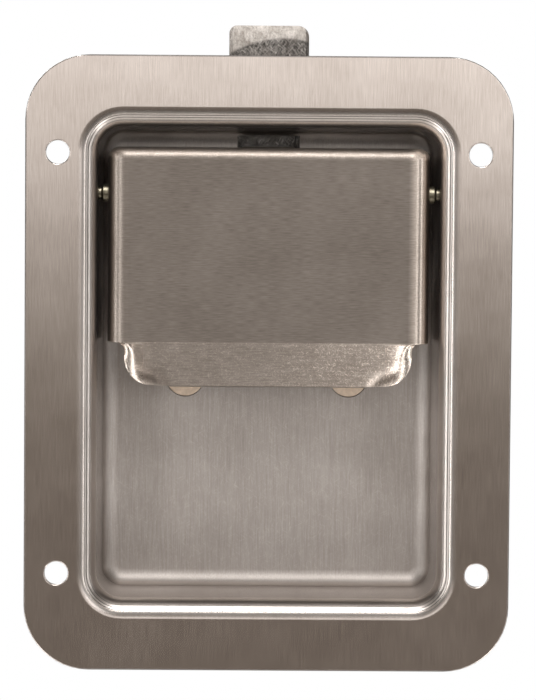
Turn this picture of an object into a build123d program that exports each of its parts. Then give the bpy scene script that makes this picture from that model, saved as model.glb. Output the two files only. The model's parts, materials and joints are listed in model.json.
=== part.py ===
"""Flush-mounted paddle latch: a drawn pan, a sprung paddle and a sprung slam bolt.

Millimetres.  X is across the latch, +Y goes back into the door and +Z is up.
The origin is the centre of the four mounting holes, on the back face of the flange.
Pulling the lip of the paddle turns it about the pivot pin, and its tongue, which
reaches through the pan floor, pushes the bolt down against its spring.
"""

import os
from math import cos, hypot, radians, sin, tan

from build123d import *

# Flange and mounting holes
PLATE_WIDTH = 95.25
PLATE_HEIGHT = 120.65
PLATE_CORNER = 12.7
PAN_SHEET = 1.2
HOLE_SPACING = 82.55
HOLE_RADIUS = 2.3
EDGE_ROLL = 0.4

# Recess of the pan, measured wall to wall at the front face of the flange
PAN_WIDTH = 67.7
PAN_HEIGHT = 93.3
PAN_CORNER = 5.3
PAN_DEPTH = 17.5
PAN_DRAFT = 5.0
LIP_RADIUS = 4.0
FLOOR_RADIUS = 3.0

# Paddle
PADDLE_SHEET = 1.2
PADDLE_HEIGHT = 38.1
PADDLE_SIDE_GAP = 2.3
PADDLE_TOP_GAP = 4.45
PADDLE_SINK = 1.2
SIDE_BEND = 3.8
TOP_BEND = 2.0
TOP_FLANGE_DEPTH = 10.0
FOOT_LENGTH = 8.0
FOOT_SLOPE = 14.0
GRIP_WIDTH = 56.4
GRIP_LENGTH = 8.3
GRIP_CORNER = 5.0
GRIP_NOTCH = 1.6
GRIP_ANGLE = 12.0
GRIP_EDGE = 0.8
PADDLE_TRAVEL = 36.0

# Pivot, placed from the paddle's top and face
PIVOT_DROP = 9.0
PIVOT_SET_BACK = 6.0
PIN_RADIUS = 1.75
PIN_CHAMFER = 0.5
TENON_RADIUS = 1.3
TENON_HEAD_RADIUS = 2.3
TENON_HEAD_HEIGHT = 1.0
TENON_HEAD_ROUND = 0.5

# Tongue, whose tip is set in from the back of the bolt, and the window that it passes through
TONGUE_WIDTH = 10.4
TONGUE_TIP_INSET = 5.2
TONGUE_TIP_ROUND = 0.4
TONGUE_SIDE_GAP = 1.0
WINDOW_RISE = 2.3
WINDOW_DROP = 8.0

# Bolt
BOLT_WIDTH = 15.9
BOLT_THICKNESS = 9.5
BOLT_THROW = 6.0
BOLT_TAIL = 25.0
NOSE_RAMP_HEIGHT = 9.3
NOSE_TIP = 2.8
NOSE_CORNER = 1.8
NOSE_BEVEL_HEIGHT = 2.6
NOSE_BEVEL_DEPTH = 0.9
BOLT_EDGE = 0.7
BOLT_POCKET_SIDE_GAP = 0.3
STOP_WIDTH = 5.0
STOP_HEIGHT = 2.0
STOP_DEPTH = 1.1
STOP_DROP = 7.0
SPRING_BORE_RADIUS = 3.5
SPRING_BORE_ROOF = 11.0

# Bolt housing, a hat section of folded strip
HOUSING_SHEET = 1.5
HOUSING_BEND = 1.0
HOUSING_HEAD = 9.0
FLANGE_REACH = 12.0
FLANGE_CORNER = 3.0
SPRING_SEAT_DROP = 22.5

# Bolt spring and its guide
SPRING_RADIUS = 3.1
SPRING_WIRE = 0.8
GUIDE_RADIUS = 1.8
GUIDE_LENGTH = 6.0
GUIDE_HEAD_RADIUS = 3.0
GUIDE_HEAD_HEIGHT = 1.0
GUIDE_CHAMFER = 0.45

# Rivets that hold the housing to the pan floor
RIVET_SPACING = 32.6
RIVET_PITCH = 24.0
LOWER_RIVET_DROP = 8.0
RIVET_HEAD_RADIUS = 3.75
RIVET_SHANK_RADIUS = 2.0
RIVET_TAIL_RADIUS = 3.1
RIVET_TAIL_HEIGHT = 1.2
RIVET_TAIL_ROUND = 0.8

# Paddle spring, wound round the pivot pin
COIL_RADIUS = 3.4
COIL_WIRE = 1.0
COIL_LENGTH = 6.2
COIL_INSET = 2.6
FRONT_LEG_RISE = 6.2
REAR_LEG_RISE = 2.9

# Clearances
SLIDE_CLEARANCE = 0.2
RUNNING_CLEARANCE = 0.05
HEAD_CLEARANCE = 0.1
STOP_CLEARANCE = 0.1
FOOT_CLEARANCE = 1.5

# Derived depths, from the mounting face of the flange
flange_face = -PAN_SHEET
floor_face = flange_face + PAN_DEPTH
floor_back = floor_face + PAN_SHEET
paddle_face = flange_face + PADDLE_SINK

# Derived heights
paddle_width = PAN_WIDTH - 2 * PADDLE_SIDE_GAP
paddle_top = PAN_HEIGHT / 2 - PADDLE_TOP_GAP
paddle_bottom = paddle_top - PADDLE_HEIGHT
pivot_depth = paddle_face + PIVOT_SET_BACK
pivot_height = paddle_top - PIVOT_DROP

# The tongue leaves the top flange level, so its tip starts above the pivot
bolt_front = floor_back + SLIDE_CLEARANCE
bolt_back = bolt_front + BOLT_THICKNESS
tongue_tip = bolt_back - TONGUE_TIP_INSET
tongue_reach = tongue_tip - pivot_depth
tongue_underside = paddle_top - PADDLE_SHEET
tip_rise = tongue_underside - pivot_height
travel = radians(PADDLE_TRAVEL)
tip_drop = tip_rise * (1 - cos(travel)) + tongue_reach * sin(travel)
tip_reach = hypot(tongue_reach, paddle_top - pivot_height)

# Bolt and housing
bolt_tip = PLATE_HEIGHT / 2 + BOLT_THROW
shoulder_height = tongue_underside - STOP_CLEARANCE
bolt_bottom = shoulder_height - BOLT_TAIL
pocket_back = pivot_depth + tip_reach + 2 * HEAD_CLEARANCE
pocket_top = paddle_top + tip_drop + STOP_CLEARANCE
stop_base = shoulder_height - STOP_DROP
stop_depth = bolt_back + SLIDE_CLEARANCE - STOP_DEPTH
spring_roof = shoulder_height - SPRING_BORE_ROOF
spring_axis_depth = (bolt_front + bolt_back) / 2
channel_half_width = BOLT_WIDTH / 2 + SLIDE_CLEARANCE
channel_back = bolt_back + SLIDE_CLEARANCE
spring_seat = bolt_bottom - SPRING_SEAT_DROP
housing_bottom = spring_seat - HOUSING_SHEET
housing_top = shoulder_height + HOUSING_HEAD
housing_back = channel_back + HOUSING_SHEET

# Rivets stand below the paddle's lower edge and behind the paddle
lower_rivet_height = paddle_bottom - LOWER_RIVET_DROP
upper_rivet_height = lower_rivet_height + RIVET_PITCH


def facing_plane(depth):
    """A plane at a depth, seen from the front: its x is +X and its y is +Z."""
    return Plane.XZ.offset(-depth)


def wall_width(depth):
    """Distance between the inner side walls of the pan at a depth."""
    return PAN_WIDTH - 2 * (depth - flange_face) * tan(radians(PAN_DRAFT))


def tray_block(width, top, bottom, face, back, side_radius, top_radius):
    """A block with rounded front uprights and a rounded top, open to the back and below."""
    with BuildPart() as block:
        with BuildSketch(facing_plane(back)):
            with Locations((0, (top + bottom) / 2)):
                Rectangle(width, top - bottom)
        extrude(amount=back - face)
        front = block.faces().sort_by(Axis.Y)[0]
        fillet(front.edges().filter_by(Axis.Z), side_radius)
        top_outline = block.faces().sort_by(Axis.Z)[-1].edges()
        fillet(top_outline.sort_by(Axis.Y)[:-1], top_radius)
    return block.part


def rivet(x, z):
    """A flush-headed rivet through the pan floor and the housing, set over at the back."""
    with BuildPart() as body:
        with BuildSketch(facing_plane(floor_back)):
            with Locations((x, z)):
                Circle(RIVET_HEAD_RADIUS)
        extrude(amount=PAN_SHEET)
        with BuildSketch(facing_plane(floor_back + HOUSING_SHEET)):
            with Locations((x, z)):
                Circle(RIVET_SHANK_RADIUS)
        extrude(amount=HOUSING_SHEET)
        with BuildSketch(facing_plane(floor_back + HOUSING_SHEET + RIVET_TAIL_HEIGHT)):
            with Locations((x, z)):
                Circle(RIVET_TAIL_RADIUS)
        extrude(amount=RIVET_TAIL_HEIGHT)
        tail = body.faces().sort_by(Axis.Y)[-1]
        fillet(tail.edges(), RIVET_TAIL_ROUND)
    return body.part


os.makedirs("parts", exist_ok=True)

rivet_places = {
    "lower_left": (-RIVET_SPACING / 2, lower_rivet_height),
    "lower_right": (RIVET_SPACING / 2, lower_rivet_height),
    "upper_left": (-RIVET_SPACING / 2, upper_rivet_height),
    "upper_right": (RIVET_SPACING / 2, upper_rivet_height),
}
window_top = paddle_top + WINDOW_RISE
window_bottom = tongue_underside - WINDOW_DROP

# Pan: a flange with a drawn recess, all one sheet
floor_width = wall_width(floor_face)
floor_height = floor_width + PAN_HEIGHT - PAN_WIDTH
floor_corner = PAN_CORNER - (PAN_WIDTH - floor_width) / 2
back_width = wall_width(floor_back) + 2 * PAN_SHEET
back_height = back_width + PAN_HEIGHT - PAN_WIDTH

with BuildPart() as pan:
    with BuildSketch(facing_plane(0)):
        RectangleRounded(PLATE_WIDTH, PLATE_HEIGHT, PLATE_CORNER)
    extrude(amount=PAN_SHEET)
    with BuildSketch(facing_plane(floor_back)):
        RectangleRounded(back_width, back_height, floor_corner + PAN_SHEET)
    extrude(amount=floor_back, taper=-PAN_DRAFT)
    flange_rear = pan.faces().filter_by_position(Axis.Y, 0, 0).sort_by(SortBy.AREA)[-1]
    fillet(flange_rear.inner_wires().edges(), LIP_RADIUS - PAN_SHEET)
    fillet(pan.faces().sort_by(Axis.Y)[-1].edges(), FLOOR_RADIUS + PAN_SHEET)
    with BuildSketch(facing_plane(floor_face)):
        RectangleRounded(floor_width, floor_height, floor_corner)
    extrude(amount=PAN_DEPTH, taper=-PAN_DRAFT, mode=Mode.SUBTRACT)
    floor_faces = pan.faces().filter_by_position(Axis.Y, floor_face, floor_face)
    fillet(floor_faces.sort_by(SortBy.AREA)[-1].edges(), FLOOR_RADIUS)
    flange = pan.faces().sort_by(Axis.Y)[0]
    fillet(flange.inner_wires().edges(), LIP_RADIUS)
    with BuildSketch(facing_plane(0)):
        with GridLocations(HOLE_SPACING, HOLE_SPACING, 2, 2):
            Circle(HOLE_RADIUS)
    extrude(amount=PAN_SHEET, mode=Mode.SUBTRACT)
    flange = pan.faces().sort_by(Axis.Y)[0]
    hole_wires = flange.inner_wires().sort_by(SortBy.LENGTH)[:-1]
    fillet(flange.outer_wire().edges() + hole_wires.edges(), EDGE_ROLL)
    with BuildSketch(facing_plane(floor_back)):
        with Locations((0, (window_top + window_bottom) / 2)):
            Rectangle(TONGUE_WIDTH + 2 * TONGUE_SIDE_GAP, window_top - window_bottom)
        with Locations(*rivet_places.values()):
            Circle(RIVET_HEAD_RADIUS + HEAD_CLEARANCE)
    extrude(amount=FLOOR_RADIUS + PAN_SHEET, mode=Mode.SUBTRACT)
    with BuildSketch(Plane.YZ):
        with Locations((pivot_depth, pivot_height)):
            Circle(TENON_RADIUS + RUNNING_CLEARANCE)
    extrude(amount=PLATE_WIDTH / 2, both=True, mode=Mode.SUBTRACT)

pan.part.label = "pan"
export_step(pan.part, "parts/pan.step")

# Pivot pin: shouldered between the walls, with its tenons set over outside them
pin_wall = wall_width(pivot_depth + PIN_RADIUS) / 2
head_seat = wall_width(pivot_depth + TENON_HEAD_RADIUS) / 2

with BuildPart() as pivot_pin:
    with BuildSketch(Plane.YZ):
        with Locations((pivot_depth, pivot_height)):
            Circle(PIN_RADIUS)
    extrude(amount=pin_wall - RUNNING_CLEARANCE, both=True)
    shoulders = pivot_pin.edges().group_by(Axis.X)
    chamfer(shoulders[0] + shoulders[-1], PIN_CHAMFER)
    with BuildSketch(Plane.YZ):
        with Locations((pivot_depth, pivot_height)):
            Circle(TENON_RADIUS)
    head_end = wall_width(pivot_depth - TENON_HEAD_RADIUS) / 2 + PAN_SHEET + TENON_HEAD_HEIGHT
    extrude(amount=head_end, both=True)
    for side in (-1, 1):
        with BuildSketch(Plane.YZ.offset(side * head_end)):
            with Locations((pivot_depth, pivot_height)):
                Circle(TENON_HEAD_RADIUS)
        extrude(amount=-side * (head_end - head_seat - PAN_SHEET / 2))
    heads = pivot_pin.faces().filter_by(Axis.X).group_by(Axis.X)
    fillet((heads[0] + heads[-1]).edges(), TENON_HEAD_ROUND)
    add(pan.part, mode=Mode.SUBTRACT)

pivot_pin.part.label = "pivot_pin"
export_step(pivot_pin.part, "parts/pivot_pin.step")

# Paddle: a drawn tray with side flanges, a top flange with its tongue and a grip lip
foot_back = floor_face - FOOT_CLEARANCE
flange_back = paddle_face + TOP_FLANGE_DEPTH

tray_bottom = paddle_bottom - GRIP_NOTCH
notch_cut = paddle_width - GRIP_WIDTH + 2 * GRIP_NOTCH

tray_outside = tray_block(
    paddle_width, paddle_top, tray_bottom, paddle_face, foot_back, SIDE_BEND, TOP_BEND
)
tray_inside = tray_block(
    paddle_width - 2 * PADDLE_SHEET,
    paddle_top - PADDLE_SHEET,
    tray_bottom - PADDLE_SHEET,
    paddle_face + PADDLE_SHEET,
    foot_back + PADDLE_SHEET,
    SIDE_BEND - PADDLE_SHEET,
    TOP_BEND - PADDLE_SHEET,
)

grip_slope = radians(GRIP_ANGLE)
grip_plane = Plane(
    origin=(0, paddle_face, paddle_bottom),
    x_dir=(1, 0, 0),
    z_dir=(0, -cos(grip_slope), sin(grip_slope)),
)
grip_run = GRIP_LENGTH / cos(grip_slope)

with BuildPart() as grip:
    with BuildSketch(grip_plane) as grip_outline:
        with Locations((0, -grip_run / 2)):
            Rectangle(GRIP_WIDTH, grip_run)
        fillet(grip_outline.vertices().sort_by(Axis.Y)[:2], GRIP_CORNER)
    extrude(amount=-PADDLE_SHEET)
    grip_front = grip.faces().sort_by(Axis.Y)[0]
    fillet(grip_front.edges().sort_by(Axis.Z)[:-1], GRIP_EDGE)

with BuildPart() as paddle:
    add(tray_outside)
    add(tray_inside, mode=Mode.SUBTRACT)
    with BuildSketch(Plane.YZ):
        with BuildLine():
            Polyline(
                (flange_back, paddle_top + PADDLE_SHEET),
                (flange_back, paddle_bottom + FOOT_LENGTH + FOOT_SLOPE),
                (foot_back, paddle_bottom + FOOT_LENGTH),
                (foot_back + PADDLE_SHEET, paddle_bottom + FOOT_LENGTH),
                (foot_back + PADDLE_SHEET, paddle_top + PADDLE_SHEET),
                close=True,
            )
        make_face()
    extrude(amount=paddle_width, both=True, mode=Mode.SUBTRACT)
    with BuildSketch(facing_plane(foot_back)):
        with Locations((0, paddle_bottom - notch_cut / 2)):
            with GridLocations(GRIP_WIDTH + notch_cut, 0, 2, 1):
                RectangleRounded(notch_cut, notch_cut, GRIP_NOTCH)
    extrude(amount=foot_back - paddle_face, mode=Mode.SUBTRACT)
    add(grip.part)
    with BuildSketch(Plane.XY.offset(paddle_top)):
        with Locations((0, (flange_back + tongue_tip) / 2 - PADDLE_SHEET)):
            Rectangle(TONGUE_WIDTH, tongue_tip - flange_back + 2 * PADDLE_SHEET)
    extrude(amount=-PADDLE_SHEET)
    tip_edges = paddle.faces().sort_by(Axis.Y)[-1].edges().filter_by(Axis.X)
    fillet(tip_edges, TONGUE_TIP_ROUND)
    with BuildSketch(Plane.YZ):
        with Locations((pivot_depth, pivot_height)):
            Circle(PIN_RADIUS + RUNNING_CLEARANCE)
    extrude(amount=paddle_width, both=True, mode=Mode.SUBTRACT)

paddle.part.label = "paddle"
export_step(paddle.part, "parts/paddle.step")

# Paddle spring: a few turns round the pin, one leg on the paddle, one on the pan floor
coil_end = -(paddle_width / 2 - PADDLE_SHEET - COIL_INSET)
wire_radius = COIL_WIRE / 2
front_leg_depth = pivot_depth - COIL_RADIUS + wire_radius
rear_leg_depth = pivot_depth + COIL_RADIUS - wire_radius
leg_rest_front = paddle_face + PADDLE_SHEET + wire_radius
leg_rest_rear = floor_face - wire_radius


def spring_leg(x, start, end):
    """A straight leg of the paddle spring, between two (depth, height) places."""
    path = Line((x, *start), (x, *end))
    with BuildPart() as leg:
        with BuildSketch(Plane(path @ 0, z_dir=path % 0)):
            Circle(wire_radius)
        sweep(path=path)
    return leg.part


front_leg = spring_leg(
    coil_end + wire_radius,
    (front_leg_depth, pivot_height),
    (leg_rest_front, pivot_height + FRONT_LEG_RISE),
)
rear_leg = spring_leg(
    coil_end + COIL_LENGTH - wire_radius,
    (rear_leg_depth, pivot_height),
    (leg_rest_rear, pivot_height + REAR_LEG_RISE),
)

with BuildPart() as paddle_spring:
    with BuildSketch(Plane.YZ.offset(coil_end)):
        with Locations((pivot_depth, pivot_height)):
            Circle(COIL_RADIUS)
            Circle(COIL_RADIUS - COIL_WIRE, mode=Mode.SUBTRACT)
    extrude(amount=COIL_LENGTH)
    add(front_leg)
    add(rear_leg)

paddle_spring.part.label = "paddle_spring"
export_step(paddle_spring.part, "parts/paddle_spring.step")

# Bolt: a cast bar, ramped behind its nose, with a pocket for the tongue in its front
with BuildPart() as bolt:
    with BuildSketch(Plane.YZ):
        with BuildLine():
            Polyline(
                (bolt_front, bolt_bottom),
                (bolt_front, bolt_tip - NOSE_BEVEL_HEIGHT),
                (bolt_front + NOSE_BEVEL_DEPTH, bolt_tip),
                (bolt_front + NOSE_BEVEL_DEPTH + NOSE_TIP, bolt_tip),
                (bolt_back, bolt_tip - NOSE_RAMP_HEIGHT),
                (bolt_back, bolt_bottom),
                close=True,
            )
        make_face()
    extrude(amount=BOLT_WIDTH / 2, both=True)
    nose_corners = bolt.faces().sort_by(Axis.Z)[-1].edges().filter_by(Axis.Y)
    fillet(nose_corners, NOSE_CORNER)
    front_uprights = bolt.faces().sort_by(Axis.Y)[0].edges().filter_by(Axis.Z)
    chamfer(front_uprights, BOLT_EDGE)
    with BuildSketch(facing_plane(pocket_back)):
        with Locations((0, (pocket_top + shoulder_height) / 2)):
            Rectangle(TONGUE_WIDTH + 2 * BOLT_POCKET_SIDE_GAP, pocket_top - shoulder_height)
    extrude(amount=pocket_back - bolt_front, mode=Mode.SUBTRACT)
    with BuildSketch(facing_plane(stop_depth - STOP_CLEARANCE)):
        with Locations((0, stop_base + (STOP_HEIGHT + tip_drop) / 2)):
            Rectangle(
                STOP_WIDTH + 2 * SLIDE_CLEARANCE, STOP_HEIGHT + tip_drop + 2 * STOP_CLEARANCE
            )
    extrude(amount=-BOLT_THICKNESS, mode=Mode.SUBTRACT)
    with BuildSketch(Plane.XY.offset(bolt_bottom)):
        with Locations((0, spring_axis_depth)):
            Circle(SPRING_BORE_RADIUS)
    extrude(amount=spring_roof - bolt_bottom, mode=Mode.SUBTRACT)

bolt.part.label = "bolt"
export_step(bolt.part, "parts/bolt.step")

# Bolt housing: side walls, a back web, riveted flanges, a spring seat and a lanced stop
wall_outside = channel_half_width + HOUSING_SHEET
flange_top = upper_rivet_height + RIVET_TAIL_RADIUS + HOUSING_SHEET

with BuildPart() as bolt_housing:
    with BuildSketch(Plane.XY.offset(housing_bottom)):
        with Locations((0, (floor_back + housing_back) / 2)):
            Rectangle(2 * wall_outside, housing_back - floor_back)
    extrude(amount=housing_top - housing_bottom)
    fillet(
        bolt_housing.faces().sort_by(Axis.Y)[-1].edges().filter_by(Axis.Z),
        HOUSING_BEND + HOUSING_SHEET,
    )
    with BuildSketch(Plane.XY.offset(spring_seat)):
        with Locations((0, (floor_back + channel_back) / 2 - HOUSING_SHEET / 2)):
            Rectangle(2 * channel_half_width, channel_back - floor_back + HOUSING_SHEET)
    extrude(amount=housing_top - spring_seat, mode=Mode.SUBTRACT)
    with BuildSketch(facing_plane(floor_back + HOUSING_SHEET)):
        with Locations((0, (housing_bottom + flange_top) / 2)):
            with GridLocations(2 * wall_outside + FLANGE_REACH, 0, 2, 1):
                Rectangle(FLANGE_REACH, flange_top - housing_bottom)
    extrude(amount=HOUSING_SHEET)
    flange_corners = bolt_housing.edges().filter_by(Axis.Y).filter_by(
        lambda edge: abs(edge.center().X) > wall_outside + FLANGE_REACH / 2
    )
    fillet(flange_corners, FLANGE_CORNER)
    with BuildSketch(facing_plane(floor_back + HOUSING_SHEET)):
        with Locations(*rivet_places.values()):
            Circle(RIVET_SHANK_RADIUS + RUNNING_CLEARANCE)
    extrude(amount=HOUSING_SHEET, mode=Mode.SUBTRACT)
    with BuildSketch(facing_plane(channel_back)):
        with Locations((0, stop_base + STOP_HEIGHT * 3 / 2)):
            Rectangle(STOP_WIDTH, STOP_HEIGHT)
    extrude(amount=-HOUSING_SHEET, mode=Mode.SUBTRACT)
    with BuildSketch(facing_plane(channel_back)):
        with Locations((0, stop_base + STOP_HEIGHT / 2)):
            Rectangle(STOP_WIDTH, STOP_HEIGHT)
    extrude(amount=STOP_DEPTH - STOP_CLEARANCE)
    with BuildSketch(Plane.XY.offset(housing_bottom)):
        with Locations((0, spring_axis_depth)):
            Circle(GUIDE_RADIUS + RUNNING_CLEARANCE)
    extrude(amount=HOUSING_SHEET, mode=Mode.SUBTRACT)

bolt_housing.part.label = "bolt_housing"
export_step(bolt_housing.part, "parts/bolt_housing.step")

for place, (rivet_x, rivet_z) in rivet_places.items():
    name = f"rivet_{place}"
    housing_rivet = rivet(rivet_x, rivet_z)
    housing_rivet.label = name
    export_step(housing_rivet, f"parts/{name}.step")

# Spring guide: a headed stud through the spring seat
with BuildPart() as spring_guide:
    with BuildSketch(Plane.XY.offset(housing_bottom - GUIDE_HEAD_HEIGHT)):
        with Locations((0, spring_axis_depth)):
            Circle(GUIDE_HEAD_RADIUS)
    extrude(amount=GUIDE_HEAD_HEIGHT)
    with BuildSketch(Plane.XY.offset(housing_bottom)):
        with Locations((0, spring_axis_depth)):
            Circle(GUIDE_RADIUS)
    extrude(amount=HOUSING_SHEET + GUIDE_LENGTH)
    chamfer(spring_guide.faces().sort_by(Axis.Z)[-1].edges(), GUIDE_CHAMFER)

spring_guide.part.label = "spring_guide"
export_step(spring_guide.part, "parts/spring_guide.step")

# Bolt spring: the outside and inside of its coils, from its seat to the roof of the bore
with BuildPart() as bolt_spring:
    with BuildSketch(Plane.XY.offset(spring_seat)):
        with Locations((0, spring_axis_depth)):
            Circle(SPRING_RADIUS)
            Circle(SPRING_RADIUS - SPRING_WIRE, mode=Mode.SUBTRACT)
    extrude(amount=spring_roof - spring_seat)

bolt_spring.part.label = "bolt_spring"
export_step(bolt_spring.part, "parts/bolt_spring.step")
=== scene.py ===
"""Looks of the flush paddle latch: a stainless pan, its paddle, a cast slam bolt and their fittings.

Sizes are millimetres in the classes, and become metres when a mesh is made.
X runs across the latch, +Y goes back into the door and +Z is up.
"""

import json
import logging
from collections.abc import Sequence
from dataclasses import dataclass, field
from enum import Enum
from math import asin, cos, hypot, pi, radians, sin, sqrt, tan

import bmesh
import bpy
from mathutils import Matrix, Vector


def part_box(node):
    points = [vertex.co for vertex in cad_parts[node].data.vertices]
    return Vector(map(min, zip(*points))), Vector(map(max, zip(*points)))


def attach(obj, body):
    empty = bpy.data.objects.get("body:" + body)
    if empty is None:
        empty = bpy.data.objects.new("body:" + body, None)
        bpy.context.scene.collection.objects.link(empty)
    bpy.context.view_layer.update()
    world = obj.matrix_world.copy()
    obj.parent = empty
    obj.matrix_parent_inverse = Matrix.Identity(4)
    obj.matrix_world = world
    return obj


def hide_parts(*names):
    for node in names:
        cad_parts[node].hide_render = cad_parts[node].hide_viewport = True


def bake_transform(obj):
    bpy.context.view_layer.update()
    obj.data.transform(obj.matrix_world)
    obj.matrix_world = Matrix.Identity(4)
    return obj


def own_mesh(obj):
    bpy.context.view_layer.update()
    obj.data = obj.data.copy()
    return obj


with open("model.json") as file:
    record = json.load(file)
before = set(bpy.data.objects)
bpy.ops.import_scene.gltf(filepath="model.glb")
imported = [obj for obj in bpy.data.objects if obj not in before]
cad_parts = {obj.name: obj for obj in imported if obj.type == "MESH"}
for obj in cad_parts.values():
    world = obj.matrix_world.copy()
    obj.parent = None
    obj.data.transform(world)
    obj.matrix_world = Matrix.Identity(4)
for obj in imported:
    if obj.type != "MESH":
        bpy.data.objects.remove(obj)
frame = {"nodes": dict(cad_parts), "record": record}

MM = 0.001
# Sizes that several pieces share: the sheet's thickness, the width of the paddle's tongue, and how
# far a cutter passes the surface that it cuts.
SHEET = 1.2
TONGUE_WIDTH = 10.4
OVERCUT = 1.0
# A zone of a finish that ends here runs past the edge of its sheet.
PAST_EDGE = 70.0
# Vertices closer than this, in millimetres, are joined.
MERGE_DISTANCE = 1e-4
# Edges sharper than this stay sharp, and this much weight keeps large flat faces flat.
SMOOTH_LIMIT = radians(32)
FLAT_WEIGHT = 80
# Sides of a turned shape, of a rounded rectangle's corner and of a wire.
TURN_STEPS = 40
CORNER_STEPS = 12
WIRE_STEPS = 12
# How much longer than wide a scratch or a grinding mark is.
MARK_ASPECT = 10
RIVET_NODES = ("rivet_lower_left", "rivet_lower_right", "rivet_upper_left", "rivet_upper_right")
LOG = logging.getLogger("latch")

Place = tuple[float, float, float]
Ring = list[Place]
Span = tuple[float, float]
Socket = bpy.types.NodeSocket
Tree = bpy.types.NodeTree
Material = bpy.types.Material
Piece = bpy.types.Object


class Body(Enum):
    """The moving bodies of the latch."""

    PAN = "pan_assembly"
    PADDLE = "paddle"
    BOLT = "bolt"


class Axis(Enum):
    """The axes of the frame."""

    X = "X"
    Y = "Y"
    Z = "Z"


class Slot(Enum):
    """The record's material slots."""

    PAN = "pan_stainless"
    PADDLE = "paddle_stainless"
    BOLT = "cast_bolt"
    RIVET = "rivet_steel"
    SPRING = "spring_wire"


@dataclass(frozen=True)
class NodeBox:
    """Lowest and highest corner of a CAD node at rest, in millimetres."""

    low: Place
    high: Place

    @classmethod
    def of(cls, node: str) -> "NodeBox":
        """Reads the box of a node from the frame."""
        low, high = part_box(node)
        return cls(tuple(v / MM for v in low), tuple(v / MM for v in high))

    @property
    def centre(self) -> Vector:
        """The middle of the box."""
        return (Vector(self.low) + Vector(self.high)) / 2


# ---------------------------------------------------------------- nodes and materials


def linear(hex_colour: str) -> tuple[float, float, float, float]:
    """Turns an sRGB hex colour to linear.

    Args:
        hex_colour: Six hex digits, such as "B8B0A6".

    Returns:
        Red, green, blue and an alpha of 1.
    """
    channels = [int(hex_colour[i:i + 2], 16) / 255 for i in (0, 2, 4)]
    return tuple(c / 12.92 if c <= 0.04045 else ((c + 0.055) / 1.055) ** 2.4 for c in channels) + (1.0,)


def add_node(tree: Tree, kind: str, inputs: dict | None = None, **settings) -> bpy.types.Node:
    """Adds a node, with its settings and its inputs.

    Args:
        tree: The tree that gets the node.
        kind: The node's type name.
        inputs: A value, or the output socket to link from, for each input name or index.
        **settings: The node's own properties.

    Returns:
        The new node.
    """
    node = tree.nodes.new(kind)
    for name, value in settings.items():
        setattr(node, name, value)
    for key, value in (inputs or {}).items():
        if isinstance(value, Socket):
            tree.links.new(value, node.inputs[key])
        else:
            node.inputs[key].default_value = value
    return node


def per_metre(size: float) -> float:
    """Scale of a pattern on Object coordinates whose features are size millimetres across."""
    return 1 / (size * MM)


def calc(tree: Tree, operation: str, *inputs: Socket | float) -> Socket:
    """The result of a math operation.

    Args:
        tree: The tree that gets the node.
        operation: The math node's operation.
        *inputs: Its numbers, in order.

    Returns:
        The result's socket.
    """
    return add_node(tree, "ShaderNodeMath", dict(enumerate(inputs)), operation=operation).outputs[0]


def remap(tree: Tree, value: Socket, span: Span, result: Span = (0.0, 1.0)) -> Socket:
    """Maps a span of values to another span, and holds what lies outside it at its ends.

    Args:
        tree: The tree that gets the node.
        value: The value to map.
        span: The values that map to the two results.
        result: Those results.

    Returns:
        The mapped value's socket.
    """
    return add_node(
        tree, "ShaderNodeMapRange",
        {"Value": value, "From Min": span[0], "From Max": span[1],
         "To Min": result[0], "To Max": result[1]},
    ).outputs[0]


def soft_edge(tree: Tree, value: Socket, place: float, reach: Span, result: Span = (0.0, 1.0)) -> Socket:
    """Steps from one result to another as a coordinate passes a place.

    Args:
        tree: The tree that gets the node.
        value: The coordinate, in metres.
        place: The place, in millimetres.
        reach: Where the step starts and ends, in millimetres from that place.
        result: The values before it and after it.

    Returns:
        The result's socket.
    """
    return remap(tree, value, ((place + reach[0]) * MM, (place + reach[1]) * MM), result)


def mixed(tree: Tree, share: Socket | float, first: Socket, second: Socket | float) -> Socket:
    """Mixes two numbers: all of the first at a share of 0, all of the second at 1."""
    return add_node(tree, "ShaderNodeMix", {0: share, 2: first, 3: second}, data_type="FLOAT").outputs[0]


def mixed_colour(tree: Tree, share: Socket, first: Socket | tuple, second: Socket | tuple) -> Socket:
    """Mixes two colours: all of the first at a share of 0, all of the second at 1."""
    return add_node(tree, "ShaderNodeMix", {0: share, 6: first, 7: second}, data_type="RGBA").outputs[2]


def toned(tree: Tree, colour: Socket, tone: Socket) -> Socket:
    """Multiplies a colour by a tone."""
    return add_node(
        tree, "ShaderNodeVectorMath", {0: colour, "Scale": tone}, operation="SCALE"
    ).outputs[0]


def crossed_marks(tree: Tree, place: Socket, width: float, turns: Sequence[float]) -> Socket:
    """Fine straight marks on the front of a piece, which cross at several angles.

    Args:
        tree: The material's tree.
        place: Object coordinates.
        width: How wide a mark is, in millimetres.
        turns: Angle of each set of marks from upright.

    Returns:
        A height from 0 to 1, high along a mark.
    """
    marks = None
    across, along = width * MM, MARK_ASPECT * width * MM
    for turn in turns:
        turned_place = add_node(
            tree, "ShaderNodeMapping",
            {"Vector": place, "Rotation": (0.0, turn, 0.0), "Scale": (across, across, along)},
            vector_type="TEXTURE",
        )
        noise = add_node(
            tree, "ShaderNodeTexNoise", {"Vector": turned_place.outputs[0], "Scale": 1.0, "Detail": 2.0}
        ).outputs["Fac"]
        marks = calc(tree, "MAXIMUM", marks, noise) if marks else noise
    return marks


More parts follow.
